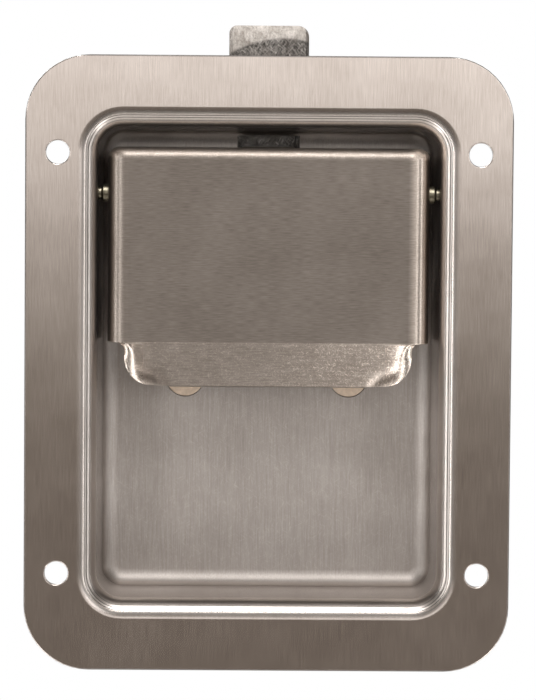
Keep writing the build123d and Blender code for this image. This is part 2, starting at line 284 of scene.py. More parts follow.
@dataclass(frozen=True)
class Finish:
    """A bare metal finish: fine grain along one axis, and broad mottling.

    Colour and shade are its lightest and darkest hex colours. Grain and mottle are the widths of
    their marks, in millimetres. Noise keeps to the middle of its 0 to 1, and the two spans say which
    part of it is spread over the whole range of tones and of roughness.
    """

    name: str
    colour: str
    shade: str
    roughness: float
    grain: float = 0.35
    grain_length: float = 12.0
    grain_depth: float = 0.02
    grain_tone: float = 0.35
    grain_axis: Axis = Axis.Z
    mottle: float = 9.0
    tone_span: Span = (0.35, 0.65)
    roughness_span: Span = (0.3, 0.7)
    unevenness: float = 0.04

    def material(self) -> Material:
        """Builds the material.

        Returns:
            A material with its own node tree.
        """
        material = bpy.data.materials.new(self.name)
        material.use_nodes = True
        tree = material.node_tree
        tree.nodes.clear()
        place = add_node(tree, "ShaderNodeTexCoord").outputs["Object"]
        grain = self.stretched_noise(tree, place)
        mottle = add_node(
            tree, "ShaderNodeTexNoise",
            {"Vector": place, "Scale": per_metre(self.mottle), "Detail": 4.0, "Roughness": 0.6},
        )
        tone = mixed(tree, self.grain_tone, mottle.outputs["Fac"], grain)
        spread = remap(tree, tone, self.tone_span)
        colour = mixed_colour(tree, spread, linear(self.shade), linear(self.colour))
        rough = self.roughness_of(tree, place, mottle.outputs["Fac"])
        height = self.height_of(tree, place, grain)
        bump = add_node(
            tree, "ShaderNodeBump",
            {"Strength": 1.0, "Distance": self.grain_depth * MM, "Height": height},
        )
        shader = add_node(
            tree, "ShaderNodeBsdfPrincipled",
            {
                "Base Color": self.colour_of(tree, place, colour),
                "Metallic": 1.0,
                "Roughness": rough,
                "Normal": bump.outputs[0],
            },
        )
        add_node(tree, "ShaderNodeOutputMaterial", {"Surface": shader.outputs[0]})
        return material

    def stretched_noise(self, tree: Tree, place: Socket) -> Socket:
        """Lines that run along the grain.

        Args:
            tree: The material's tree.
            place: Object coordinates.

        Returns:
            A height from 0 to 1.
        """
        scale = tuple(
            per_metre(self.grain_length if axis is self.grain_axis else self.grain) for axis in Axis
        )
        mapped = add_node(tree, "ShaderNodeMapping", {"Vector": place, "Scale": scale})
        lines = add_node(
            tree, "ShaderNodeTexNoise", {"Vector": mapped.outputs[0], "Scale": 1.0, "Detail": 3.0}
        )
        return lines.outputs["Fac"]

    def roughness_of(self, tree: Tree, place: Socket, mottle: Socket) -> Socket:
        """Roughness that varies a little with the mottling."""
        result = (self.roughness * (1 - self.unevenness), self.roughness * (1 + self.unevenness))
        return remap(tree, mottle, self.roughness_span, result)

    def height_of(self, tree: Tree, place: Socket, grain: Socket) -> Socket:
        """Height of the surface pattern: the grain alone."""
        return grain

    def colour_of(self, tree: Tree, place: Socket, colour: Socket) -> Socket:
        """Colour of the metal, with nothing added."""
        return colour


@dataclass(frozen=True)
class Zone:
    """A part of a sheet that differs from the rest: in finish, as the press tools left it, or in painted
    light and shade.

    The zone lies between two places along an axis, in millimetres. A mirrored zone is on both sides
    of the centre plane. Tone multiplies the colour, and scratched brightens it along fine crossed
    scratches. A zone within another one stays inside that one too.
    """

    axis: Axis
    start: float
    end: float
    roughness: float
    tone: float = 1.0
    scratched: float = 0.0
    edge: float = 0.5
    mirrored: bool = False
    within: "Zone | None" = None

    def mask(self, tree: Tree, place: Socket) -> Socket:
        """1 inside the zone and 0 outside, with soft edges.

        Args:
            tree: The material's tree.
            place: Object coordinates.

        Returns:
            The mask's output socket.
        """
        value = add_node(tree, "ShaderNodeSeparateXYZ", {"Vector": place}).outputs[self.axis.value]
        if self.mirrored:
            value = calc(tree, "ABSOLUTE", value)
        reach = (-self.edge, self.edge)
        sides = [
            soft_edge(tree, value, self.start, reach),
            soft_edge(tree, value, self.end, reach, (1.0, 0.0)),
        ]
        if self.within:
            sides.append(self.within.mask(tree, place))
        mask = sides[0]
        for side in sides[1:]:
            mask = calc(tree, "MULTIPLY", mask, side)
        return mask


@dataclass(frozen=True)
class PressedStainless(Finish):
    """Stainless sheet whose face, draw radii, bends and floor each keep their own finish, with painted
    light and shade in some of their tones.

    The scratches are the highest part of crossed marks, over scratch_span.
    """

    zones: tuple[Zone, ...] = ()
    scratch_width: float = 0.15
    scratch_span: Span = (0.6, 0.8)
    scratch_turns: tuple[float, ...] = (radians(62), radians(-55), radians(20), radians(-14))

    def roughness_of(self, tree: Tree, place: Socket, mottle: Socket) -> Socket:
        """Roughness of the face, and of each zone in turn."""
        rough = super().roughness_of(tree, place, mottle)
        for zone in self.zones:
            rough = mixed(tree, zone.mask(tree, place), rough, zone.roughness)
        return rough

    def colour_of(self, tree: Tree, place: Socket, colour: Socket) -> Socket:
        """Colour of the face, toned and scratched in each zone."""
        marks = crossed_marks(tree, place, self.scratch_width, self.scratch_turns)
        for zone in self.zones:
            tone = remap(tree, marks, self.scratch_span, (zone.tone, zone.tone * (1 + zone.scratched)))
            colour = mixed_colour(tree, zone.mask(tree, place), colour, toned(tree, colour, tone))
        return colour


@dataclass(frozen=True)
class CastMetal(Finish):
    """A tumbled casting: pitted all over, with crossed grinding marks and a ground bevel, brightened as a
    painted highlight.

    The bevel lies above an arc on the front: its foot is bevel_foot high at bevel_middle, and falls
    away to both sides at arc_radius. It ends at the depth bevel_back. Tones multiply the colour:
    ground on the bevel, the ground metal's brightness with a painted highlight added, and ground_mark
    times that along its marks; dull on the rest, and cut along the marks; and a lower tone below
    nose_foot, painted shade where the bolt sits inside the pan. Each edge is a reach for soft_edge.
    """

    pit: float = 0.9
    mark_width: float = 0.13
    mark_turns: tuple[float, ...] = (radians(38), radians(-42))
    mark_span: Span = (0.48, 0.68)
    bevel_foot: float = 63.7
    bevel_middle: float = 3.0
    bevel_back: float = 18.6
    arc_radius: float = 20.0
    nose_foot: float = 58.0
    foot_edge: Span = (-0.2, 0.3)
    back_edge: Span = (0.2, 0.6)
    shade_below_edge: Span = (-1.0, 1.0)
    # ground is the ground metal's own brightness with a painted highlight added.
    ground: float = 2.9
    ground_mark: float = 0.7
    dull: float = 0.35
    cut: float = 2.3
    # Painted shade on the bolt below its nose, where it sits inside the pan.
    shade_below_tone: float = 0.45

    def height_of(self, tree: Tree, place: Socket, grain: Socket) -> Socket:
        """Pits and crossed grinding marks, added together."""
        pits = add_node(
            tree, "ShaderNodeTexNoise",
            {"Vector": place, "Scale": per_metre(self.pit), "Detail": 6.0, "Roughness": 0.7},
        ).outputs["Fac"]
        return calc(tree, "ADD", pits, crossed_marks(tree, place, self.mark_width, self.mark_turns))

    def colour_of(self, tree: Tree, place: Socket, colour: Socket) -> Socket:
        """Colour of the casting: ground bright on the bevel, dull with bright marks below it."""
        axes = add_node(tree, "ShaderNodeSeparateXYZ", {"Vector": place})
        aside = calc(tree, "SUBTRACT", axes.outputs["X"], self.bevel_middle * MM)
        square = calc(tree, "MULTIPLY", aside, aside)
        raised = calc(
            tree, "MULTIPLY_ADD", square, 1 / (2 * self.arc_radius * MM), axes.outputs["Z"]
        )
        bevel = calc(
            tree, "MULTIPLY",
            soft_edge(tree, raised, self.bevel_foot, self.foot_edge),
            soft_edge(tree, axes.outputs["Y"], self.bevel_back, self.back_edge, (1.0, 0.0)),
        )
        marks = crossed_marks(tree, place, self.mark_width, self.mark_turns)
        below = remap(tree, marks, self.mark_span, (self.dull, self.cut))
        # The bevel's tone is a painted highlight on the ground metal.
        on_bevel = remap(tree, marks, self.mark_span, (self.ground, self.ground_mark * self.ground))
        # Painted shade below the nose.
        below_nose_shade = soft_edge(
            tree, axes.outputs["Z"], self.nose_foot, self.shade_below_edge, (self.shade_below_tone, 1.0)
        )
        tone = calc(tree, "MULTIPLY", mixed(tree, bevel, below, on_bevel), below_nose_shade)
        return toned(tree, colour, tone)


# Austenitic stainless strip, cold rolled, brushed along Z and drawn: the flange mirrors its
# surroundings softly, the draw radii are burnished and the floor, stretched by the punch, is matt.
# The grain is drawn a little coarser than real grit, which is too fine to show.
PAN_FINISH = PressedStainless(
    name="brushed_stainless_drawn", colour="D9D1CB", shade="C1B8B1", roughness=0.1,
    grain=0.2, grain_length=5.0, grain_depth=0.005, grain_tone=0.5, mottle=16.0,
    zones=(
        # The lip of the recess; a painted dark line where its bend starts; and three painted dark lines
        # round it, which split its highlight into several lines as painted reflection.
        Zone(Axis.Y, -1.0, 2.4, roughness=0.31, tone=0.85, edge=0.3),
        Zone(Axis.Y, -1.12, -0.94, roughness=0.3, tone=0.5, edge=0.08),
        Zone(Axis.Y, -0.84, -0.78, roughness=0.3, tone=0.05, edge=0.03),
        Zone(Axis.Y, -0.6, -0.52, roughness=0.3, tone=0.05, edge=0.04),
        Zone(Axis.Y, -0.2, -0.08, roughness=0.4, tone=0.35, edge=0.06),
        # The wall and the floor, darkened into the recess as painted shade, the floor matt and scratched
        # too; and the sheared rim of the plate: top and bottom, then the sides.
        Zone(Axis.Y, 2.4, 14.5, roughness=0.27, tone=0.66, edge=0.6),
        Zone(Axis.Y, 14.5, PAST_EDGE, roughness=0.56, tone=0.64, scratched=0.25, edge=0.8),
        # The rim's dark tone is painted shade, which dims the highlight on its rolled edge to a dark
        # outline; its dull roughness is the sheared edge's own.
        Zone(Axis.Z, 60.08, PAST_EDGE, roughness=0.5, tone=0.35, edge=0.06, mirrored=True),
        Zone(Axis.X, 47.38, PAST_EDGE, roughness=0.5, tone=0.35, edge=0.06, mirrored=True),
    ),
)
# The grip lip, scuffed where fingers and tools have rubbed it, and brightened as painted light.
GRIP = Zone(Axis.Z, -PAST_EDGE, 4.0, roughness=0.32, tone=1.22, scratched=0.7, edge=0.3)
# The same strip with a dull satin face, bent: very even, and shinier on its bends. Its colour is darker
# than the pan's as painted shade, and its bends are brightened as painted highlights.
PADDLE_FINISH = PressedStainless(
    name="satin_stainless_bent", colour="867E77", shade="6F6760", roughness=0.5,
    grain=0.2, grain_length=2.2, grain_depth=0.006, grain_tone=0.6, grain_axis=Axis.X, mottle=14.0,
    zones=(
        # The right, left and top bends, brightened as painted highlights, the right one most.
        Zone(Axis.X, 28.3, PAST_EDGE, roughness=0.28, tone=2.4, edge=1.0),
        Zone(Axis.X, -PAST_EDGE, -28.3, roughness=0.34, tone=1.3, edge=1.0),
        Zone(Axis.Z, 40.4, PAST_EDGE, roughness=0.46, tone=1.5, scratched=0.8),
        # The grip lip, lighter towards its right as painted light, with more scratches there; its corners,
        # brightened as painted highlights; and its crease, a painted highlight line with scratches.
        GRIP,
        Zone(Axis.X, 8.0, PAST_EDGE, roughness=0.28, tone=1.3, scratched=1.0, edge=9.0, within=GRIP),
        Zone(Axis.X, 24.0, PAST_EDGE, roughness=0.24, tone=1.8, edge=1.5, mirrored=True, within=GRIP),
        Zone(Axis.Z, 4.0, 4.2, roughness=0.3, tone=1.25, scratched=1.0, edge=0.1),
    ),
)
# Bright zinc plate on folded strip: bluish and fairly sharp.
ZINC_FINISH = Finish(
    name="bright_zinc_plate", colour="C3C7CB", shade="A5A9AE", roughness=0.3,
    grain=0.8, grain_length=1.2, grain_depth=0.004, mottle=3.0,
)
# Plain carbon steel rivet, upset and wiped: warm beige and matt.
RIVET_FINISH = Finish(
    name="upset_rivet_steel", colour="E6D3BF", shade="CDBBA8", roughness=0.46,
    grain=0.5, grain_length=0.7, grain_depth=0.008, mottle=1.4,
)
# Turned carbon steel pin: olive grey, speckled by its oil film.
PIN_FINISH = Finish(
    name="turned_pin_steel", colour="8F8978", shade="625D50", roughness=0.36,
    grain=0.4, grain_length=0.5, grain_depth=0.008, mottle=0.7,
)
# Hard-drawn spring wire: dark grey with draw lines.
WIRE_FINISH = Finish(
    name="hard_drawn_wire", colour="9A9CA0", shade="76787C", roughness=0.28,
    grain=0.3, grain_length=0.6, grain_depth=0.004, mottle=2.0,
)


# ---------------------------------------------------------------- meshes


def sweep(start: float, end: float, steps: int) -> list[float]:
    """Evenly spaced angles from start to end, both included."""
    return [start + (end - start) * i / steps for i in range(steps + 1)]


def skin(mesh: bmesh.types.BMesh, rings: Sequence[Ring], closed: bool) -> list[list[bmesh.types.BMVert]]:
    """Joins each ring of places to the next with four-sided faces.

    Args:
        mesh: The mesh that gets the faces.
        rings: Rings with the same number of places each.
        closed: True if the last place of a ring joins its first.

    Returns:
        The vertices of each ring.
    """
    rows = [[mesh.verts.new(place) for place in ring] for ring in rings]
    for row, following in zip(rows, rows[1:]):
        count = len(row)
        for i in range(count if closed else count - 1):
            j = (i + 1) % count
            mesh.faces.new((row[i], row[j], following[j], following[i]))
    return rows


def make_piece(name: str, mesh: bmesh.types.BMesh, outward: bool = True) -> Piece:
    """Turns a mesh in millimetres to an object in metres.

    Args:
        name: Name of the piece.
        mesh: The mesh, which is freed.
        outward: True for a closed shape, whose faces are turned outwards.

    Returns:
        The object, linked to the scene.
    """
    bmesh.ops.remove_doubles(mesh, verts=mesh.verts, dist=MERGE_DISTANCE)
    if outward:
        bmesh.ops.recalc_face_normals(mesh, faces=mesh.faces)
    bmesh.ops.scale(mesh, vec=(MM, MM, MM), verts=mesh.verts)
    data = bpy.data.meshes.new(name)
    mesh.to_mesh(data)
    mesh.free()
    piece = bpy.data.objects.new(name, data)
    bpy.context.scene.collection.objects.link(piece)
    return piece


def bake(piece: Piece) -> None:
    """Applies the modifiers of a piece and leaves a plain mesh."""
    graph = bpy.context.evaluated_depsgraph_get()
    data = bpy.data.meshes.new_from_object(piece.evaluated_get(graph))
    piece.modifiers.clear()
    data.name = piece.name
    piece.data = data


def cut(piece: Piece, cutters: Sequence[Piece]) -> None:
    """Cuts each cutter out of a piece and removes the cutters.

    Args:
        piece: The piece to cut.
        cutters: Closed shapes.
    """
    for cutter in cutters:
        modifier = piece.modifiers.new("cut", "BOOLEAN")
        modifier.operation = "DIFFERENCE"
        modifier.solver = "EXACT"
        modifier.object = cutter
    bake(piece)
    for cutter in cutters:
        bpy.data.objects.remove(cutter)


def smooth(piece: Piece) -> None:
    """Shades a piece smooth, keeps its sharp edges, and lets flat faces stay flat."""
    piece.data.shade_smooth()
    piece.data.set_sharp_from_angle(angle=SMOOTH_LIMIT)
    modifier = piece.modifiers.new("flats", "WEIGHTED_NORMAL")
    modifier.keep_sharp = True
    modifier.weight = FLAT_WEIGHT
    bake(piece)


def turned(name: str, profile: Sequence[tuple[float, float]], centre: Vector, axis: Axis) -> Piece:
    """A closed turned shape.

    Args:
        name: Name of the piece.
        profile: (radius, distance along the axis) places, from one end to the other.
        centre: A place on the axis; its own coordinate along the axis isn't used.
        axis: The axis that it is turned about.

    Returns:
        The shape as an object.
    """
    mesh = bmesh.new()
    rings = []
    for radius, along in profile:
        ring = []
        for angle in sweep(0.0, 2 * pi, TURN_STEPS)[:-1]:
            a, b = radius * cos(angle), radius * sin(angle)
            ring.append({
                Axis.X: (along, centre.y + a, centre.z + b),
                Axis.Y: (centre.x + a, along, centre.z + b),
                Axis.Z: (centre.x + a, centre.y + b, along),
            }[axis])
        rings.append(ring)
    rows = skin(mesh, rings, closed=True)
    mesh.faces.new(rows[0])
    mesh.faces.new(rows[-1])
    return make_piece(name, mesh)


def block(name: str, low: Place, high: Place) -> Piece:
    """A plain box, used as a cutter.

    Args:
        name: Name of the box.
        low: Its lowest corner.
        high: Its highest corner.

    Returns:
        The box as an object.
    """
    mesh = bmesh.new()
    bmesh.ops.create_cube(mesh, size=1.0)
    size = Vector(high) - Vector(low)
    bmesh.ops.scale(mesh, vec=size, verts=mesh.verts)
    bmesh.ops.translate(mesh, vec=(Vector(low) + Vector(high)) / 2, verts=mesh.verts)
    return make_piece(name, mesh)


def rounded_outline(half_width: float, half_height: float, corner: float, depth: float) -> Ring:
    """A rounded rectangle facing forwards.

    Args:
        half_width: Half of its width.
        half_height: Half of its height.
        corner: Radius of its corners.
        depth: Its place along Y.

    Returns:
        Its places, anticlockwise as seen from the front, the same number for any size.
    """
    ring = []
    for quarter in range(4):
        sign_x = 1 if quarter in (0, 3) else -1
        sign_z = 1 if quarter in (0, 1) else -1
        for angle in sweep(quarter * pi / 2, (quarter + 1) * pi / 2, CORNER_STEPS):
            ring.append((
                sign_x * (half_width - corner) + corner * cos(angle),
                depth,
                sign_z * (half_height - corner) + corner * sin(angle),
            ))
    return ring


def ride(piece: Piece, body: Body, finish: Material, slot: Slot, *nodes: str) -> None:
    """Dresses a finished piece and ties it to its body.

    Args:
        piece: The piece.
        body: The body that it moves with.
        finish: Its material.
        slot: The record's slot for that finish; not used.
        *nodes: The CAD nodes that it stands for.
    """
    piece.data.materials.clear()
    piece.data.materials.append(finish)
    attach(piece, body.value)
    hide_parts(*nodes)
    LOG.info("%s: %d faces, rides on %s", piece.name, len(piece.data.polygons), body.value)


# ---------------------------------------------------------------- pan


@dataclass
class Pan:
    """The flange and drawn recess, one stainless sheet.

    Each gap is the clearance to what fits there: a rivet head in its seat, and the tongue in the
    window, which also stands open above and below it.
    """

    plate_corner: float = 12.7
    recess_width: float = 67.7
    recess_height: float = 93.3
    recess_corner: float = 5.3
    draft: float = radians(5)
    lip_radius: float = 4.0
    floor_radius: float = 3.0
    edge_roll: float = 0.22
    hole_radius: float = 2.3
    head_gap: float = 0.1
    window_side_gap: float = 1.0
    window_rise: float = 2.3
    window_drop: float = 8.0
    tenon_hole: float = 1.35
    arc_steps: int = 12
    rim_steps: int = 4
    box: NodeBox = field(default_factory=lambda: NodeBox.of("pan"))

    @property
    def face(self) -> float:
        """Depth of the flange's front face."""
        return self.box.low[1]

    @property
    def floor_face(self) -> float:
        """Depth of the floor's front face."""
        return self.box.high[1] - SHEET

    def recess_ring(self, half_width: float, depth: float) -> Ring:
        """The recess's outline at a depth, spread or drawn in to a half width."""
        spread = half_width - self.recess_width / 2
        return rounded_outline(
            half_width, self.recess_height / 2 + spread, self.recess_corner + spread, depth
        )

    def plate_ring(self, inset: float, depth: float) -> Ring:
        """The plate's outline at a depth, drawn in by an inset."""
        half_width, half_height = self.box.high[0], self.box.high[2]
        return rounded_outline(half_width - inset, half_height - inset, self.plate_corner - inset, depth)

    def recess_rings(self, offset: float) -> list[Ring]:
        """Rings from the flange down one side of the sheet to the floor.

        Args:
            offset: 0 for the front of the sheet, its thickness for the back.

        Returns:
            The rings, flange first.
        """
        tangent = tan((pi / 2 - self.draft) / 2)
        wall_shift = offset / cos(self.draft)
        corner = self.recess_width / 2 + wall_shift - offset * tan(self.draft)
        lip, foot = self.lip_radius - offset, self.floor_radius + offset
        bottom = self.floor_face + offset
        top = self.face + offset
        wall_at_floor = corner - (bottom - top) * tan(self.draft)
        rings = []
        turn = pi / 2 - self.draft
        for angle in sweep(0.0, turn, self.arc_steps):
            rings.append(self.recess_ring(
                corner + lip * tangent - lip * sin(angle), top + lip - lip * cos(angle)
            ))
        for angle in sweep(turn, 0.0, self.arc_steps):
            rings.append(self.recess_ring(
                wall_at_floor - foot * tangent + foot * sin(angle), bottom - foot + foot * cos(angle)
            ))
        return rings

    def rim_rings(self) -> list[Ring]:
        """Rings of the plate's die-rolled rim, from its back face to its front face."""
        rings = [self.plate_ring(0.0, 0.0)]
        for angle in sweep(0.0, pi / 2, self.rim_steps):
            rings.append(self.plate_ring(
                self.edge_roll * (1 - cos(angle)), self.face + self.edge_roll * (1 - sin(angle))
            ))
        return rings

    def cutters(self) -> list[Piece]:
        """Cutters for the mounting holes, the window, the rivet holes and the tenon holes."""
        record = frame["record"]
        holes = next(m for m in record["mounts"] if m["name"] == "mounting_holes")
        half = holes["dims"]["spacing_x_mm"] / 2
        flare = [(self.hole_radius + 2 * self.edge_roll, self.face - self.edge_roll)]
        for angle in sweep(0.0, pi / 2, self.rim_steps):
            flare.append((
                self.hole_radius + self.edge_roll * (1 - sin(angle)),
                self.face + self.edge_roll * (1 - cos(angle)),
            ))
        flare.append((self.hole_radius, SHEET))
        cutters = [
            turned(f"hole_{i}", flare, Vector((x, 0, z)), Axis.Y)
            for i, (x, z) in enumerate([(-half, -half), (half, -half), (-half, half), (half, half)])
        ]
        for node in RIVET_NODES:
            rivet = NodeBox.of(node)
            radius = (rivet.high[0] - rivet.low[0]) / 2 + self.head_gap
            reach = [(radius, self.floor_face - OVERCUT), (radius, self.floor_face + 2 * SHEET)]
            cutters.append(turned(f"seat_{node}", reach, rivet.centre, Axis.Y))
        paddle_top = NodeBox.of("paddle").high[2]
        side = TONGUE_WIDTH / 2 + self.window_side_gap
        cutters.append(block(
            "window",
            (-side, self.floor_face - self.floor_radius, paddle_top - SHEET - self.window_drop),
            (side, self.floor_face + 2 * SHEET, paddle_top + self.window_rise),
        ))
        pivot = NodeBox.of("pivot_pin")
        cutters.append(turned(
            "tenon",
            [(self.tenon_hole, pivot.low[0] - OVERCUT), (self.tenon_hole, pivot.high[0] + OVERCUT)],
            pivot.centre, Axis.X,
        ))
        return cutters

    def build(self) -> Piece:
        """Builds the pan.

        Returns:
            The piece, not dressed yet.
        """
        mesh = bmesh.new()
        front = self.recess_rings(0.0)
        back = self.recess_rings(SHEET)
        rows = skin(mesh, back[::-1] + self.rim_rings() + front, closed=True)
        mesh.faces.new(rows[0])
        mesh.faces.new(rows[-1])
        piece = make_piece("drawn_pan", mesh)
        cut(piece, self.cutters())
        smooth(piece)
        return piece

    def dress(self, piece: Piece) -> None:
        """Gives the pan its finish and its body."""
        ride(piece, Body.PAN, PAN_FINISH.material(), Slot.PAN, "pan")


# ---------------------------------------------------------------- paddle


@dataclass
class Paddle:
    """The paddle: face, side and top flanges, tongue and grip lip, one bent sheet.

    The side flanges are foot_depth deep over foot_length, then slope to flange_depth. The grip lip
    curls back over curl_width inside its side edges and corners. The curl fades out over curl_fade
    towards its middle, and comes in below the crease, curl_onset times as fast as the lip falls.
    """

    side_bend: float = 3.8
    top_bend: float = 2.0
    flange_depth: float = 10.0
    foot_depth: float = 14.8
    foot_length: float = 8.0
    foot_slope: float = 14.0
    height: float = 38.1
    grip_width: float = 56.4
    grip_length: float = 8.3
    grip_corner: float = 5.4
    notch: float = 1.6
    grip_angle: float = radians(12)
    curl_width: float = 3.4
    curl_depth: float = 1.0
    curl_fade: float = 3.0
    curl_onset: float = 2.5
    edge: float = 0.34
    edge_segments: int = 3
    edge_angle: float = radians(55)
    pivot_hole: float = 1.8
    face_steps: int = 10
    near_steps: int = 6
    near_step: float = 1.1
    flange_steps: int = 4
    outer_steps: int = 7
    inner_steps: int = 5
    top_steps: int = 6
    notch_steps: int = 3
    corner_steps: int = 4
    crease_row: float = 1.2
    box: NodeBox = field(default_factory=lambda: NodeBox.of("paddle"))

    @property
    def half_width(self) -> float:
        """Half of the paddle's width."""
        return self.box.high[0]

    @property
    def top(self) -> float:
        """Height of the paddle's top."""
        return self.box.high[2]

    @property
    def bottom(self) -> float:
        """Height of the crease above the grip lip."""
        return self.top - self.height

    @property
    def notch_half_width(self) -> float:
        """Half width where the notches start, at the crease."""
        return self.grip_width / 2 + self.notch

    @property
    def notch_angle(self) -> float:
        """How far round the side bend the notches start."""
        flat = self.half_width - self.side_bend
        ratio = (self.notch_half_width - flat) / self.side_bend
        return asin(ratio)

    def flange_back(self, height: float) -> float:
        """Depth of the side flanges' back edge at a height."""
        slope_foot = self.bottom + self.foot_length
        share = (height - slope_foot) / self.foot_slope
        return self.foot_depth + (self.flange_depth - self.foot_depth) * min(max(share, 0.0), 1.0)

    def section(self, height: float, inset: float) -> Ring:
        """The tray's level section, from the left flange's back edge to the right one's.

        Args:
            height: The section's height.
            inset: How far the top bend has drawn it in.

        Returns:
            Its places.
        """
        radius = self.side_bend - inset
        hub = self.half_width - self.side_bend
        back = self.flange_back(height)
        right = []
        for i in range(self.flange_steps):
            depth = back + (self.side_bend - back) * i / self.flange_steps
            right.append((hub + radius, depth, height))
        angles = sweep(pi / 2, self.notch_angle, self.outer_steps)[:-1]
        angles += sweep(self.notch_angle, 0.0, self.inner_steps)[:-1]
        for angle in angles:
            right.append((hub + radius * sin(angle), self.side_bend - radius * cos(angle), height))
        level = hub - self.near_steps * self.near_step
        near = [hub - self.near_step * i for i in range(self.near_steps)]
        middle = [level - 2 * level * i / self.face_steps for i in range(self.face_steps + 1)]
        face = [(x, inset, height) for x in near + middle + [-x for x in reversed(near)]]
        left = [(-x, y, z) for x, y, z in right[::-1]]
        return right + face + left

    def side_curve(self) -> list[tuple[float, float]]:
        """Right edge of the grip lip as (x, z), from the crease to the middle of its corner."""
        half = self.grip_width / 2
        corner_height = self.bottom - self.grip_length + self.grip_corner
        curve = []
        for angle in sweep(0.0, pi / 2, self.notch_steps):
            curve.append((
                self.notch_half_width - self.notch * sin(angle),
                self.bottom - self.notch + self.notch * cos(angle),
            ))
        curve.append((half, (self.bottom - self.notch + corner_height) / 2))
        for angle in sweep(0.0, pi / 4, self.corner_steps):
            curve.append((
                half - self.grip_corner + self.grip_corner * cos(angle),
                corner_height - self.grip_corner * sin(angle),
            ))
        return curve

    def lower_curve(self, shares: Sequence[float]) -> list[tuple[float, float]]:
        """Lower edge of the grip lip as (x, z), from its right corner to its left one.

        Args:
            shares: How far along the edge each place is, from 0 to 1.

        Returns:
            One place for each share.
        """
        straight = self.grip_width / 2 - self.grip_corner
        level = self.bottom - self.grip_length
        bend = self.inner_steps
        last = len(shares) - 1
        curve = []
        for i in range(len(shares)):
            if i < bend or i > last - bend:
                side = 1 if i < bend else -1
                step = i if i < bend else last - i
                angle = pi / 4 * (1 + step / bend)
                curve.append((
                    side * (straight + self.grip_corner * cos(angle)),
                    level + self.grip_corner - self.grip_corner * sin(angle),
                ))
            else:
                span = 1 - 2 * shares[bend]
                curve.append((straight * (1 - 2 * (shares[i] - shares[bend]) / span), level))
        return curve

    def curl(self, x: float, z: float) -> float:
        """How far back the grip lip curls: along its side edges and round its corners.

        Args:
            x: The place across the latch.
            z: Its height.

        Returns:
            The curl's depth there.
        """
        beside = abs(x) - self.grip_width / 2 + self.grip_corner
        below = self.bottom - self.grip_length + self.grip_corner - z
        if beside > 0 and below > 0:
            inside = self.grip_corner - hypot(beside, below)
        else:
            inside = self.grip_corner - max(beside, below)
        near = 1 - inside / self.curl_width
        fade = 1 + beside / self.curl_fade
        if near <= 0 or fade <= 0:
            return 0.0
        return self.curl_depth * near ** 2 * min(fade, 1.0)

    def grip_places(self, crease: Ring) -> list[Ring]:
        """Rings of the grip lip below the crease.

        Args:
            crease: The section at the crease, between the notches.

        Returns:
            The rings, the crease left out.
        """
        shares = [(crease[0][0] - x) / (2 * crease[0][0]) for x, _, _ in crease]
        sides = self.side_curve()
        lower = self.lower_curve(shares)
        rings = []
        for j, (edge_x, edge_z) in enumerate(sides[1:], start=1):
            t = j / (len(sides) - 1)
            ring = []
            for i, s in enumerate(shares):
                corner_x = (1 - t) * (crease[0][0] * (1 - 2 * s)) + t * lower[0][0] * (1 - 2 * s)
                x = (1 - t) * crease[i][0] + t * lower[i][0] + edge_x * (1 - 2 * s) - corner_x
                z = (1 - t) * self.bottom + t * lower[i][1] + edge_z - (
                    (1 - t) * self.bottom + t * lower[0][1]
                )
                depth = crease[i][1] * (1 - t) + self.curl(x, z) * min(self.curl_onset * t, 1.0)
                ring.append((x, depth - (self.bottom - z) * tan(self.grip_angle), z))
            rings.append(ring)
        return rings

    def build(self) -> Piece:
        """Builds the paddle.

        Returns:
            The piece, not dressed yet.
        """
        mesh = bmesh.new()
        bend_foot = self.top - self.top_bend
        heights = [
            self.bottom, self.bottom + self.crease_row, self.bottom + self.foot_length,
            self.bottom + self.foot_length + self.foot_slope, bend_foot,
        ]
        rings = [self.section(height, 0.0) for height in heights]
        for angle in sweep(0.0, pi / 2, self.top_steps)[1:]:
            ring = self.section(bend_foot, self.top_bend * (1 - cos(angle)))
            rings.append([(x, y, bend_foot + self.top_bend * sin(angle)) for x, y, _ in ring])
        rows = skin(mesh, rings, closed=False)
        half_tongue, tip = TONGUE_WIDTH / 2, self.box.high[1]
        tongue = [
            mesh.verts.new((x, y, self.top))
            for x, y in ((-half_tongue, self.flange_depth), (-half_tongue, tip),
                         (half_tongue, tip), (half_tongue, self.flange_depth))
        ]
        mesh.faces.new(rows[-1] + tongue)
        skip = self.flange_steps + self.outer_steps
        crease = rows[0][skip:-skip]
        previous = crease
        for ring in self.grip_places([tuple(v.co) for v in crease]):
            row = [mesh.verts.new(place) for place in ring]
            for i in range(len(row) - 1):
                mesh.faces.new((previous[i], previous[i + 1], row[i + 1], row[i]))
            previous = row
        bmesh.ops.recalc_face_normals(mesh, faces=mesh.faces)
        centre = Vector((0, 0, (self.top + self.bottom) / 2))
        middle = min(mesh.faces, key=lambda face: (face.calc_center_median() - centre).length)
        if middle.normal.y > 0:
            bmesh.ops.reverse_faces(mesh, faces=mesh.faces)
        piece = make_piece("bent_paddle", mesh, outward=False)
        wall = piece.modifiers.new("sheet", "SOLIDIFY")
        wall.thickness = SHEET * MM
        wall.offset = -1.0
        wall.use_even_offset = True
        rim = piece.modifiers.new("edges", "BEVEL")
        rim.width = self.edge * MM
        rim.segments = self.edge_segments
        rim.limit_method = "ANGLE"
        rim.angle_limit = self.edge_angle
        bake(piece)
        pin = NodeBox.of("pivot_pin")
        hole = [(self.pivot_hole, pin.low[0]), (self.pivot_hole, pin.high[0])]
        cut(piece, [turned("pivot_hole", hole, pin.centre, Axis.X)])
        smooth(piece)
        return piece

    def dress(self, piece: Piece) -> None:
        """Gives the paddle its finish and its body."""
        ride(piece, Body.PADDLE, PADDLE_FINISH.material(), Slot.PADDLE, "paddle")


# ---------------------------------------------------------------- bolt


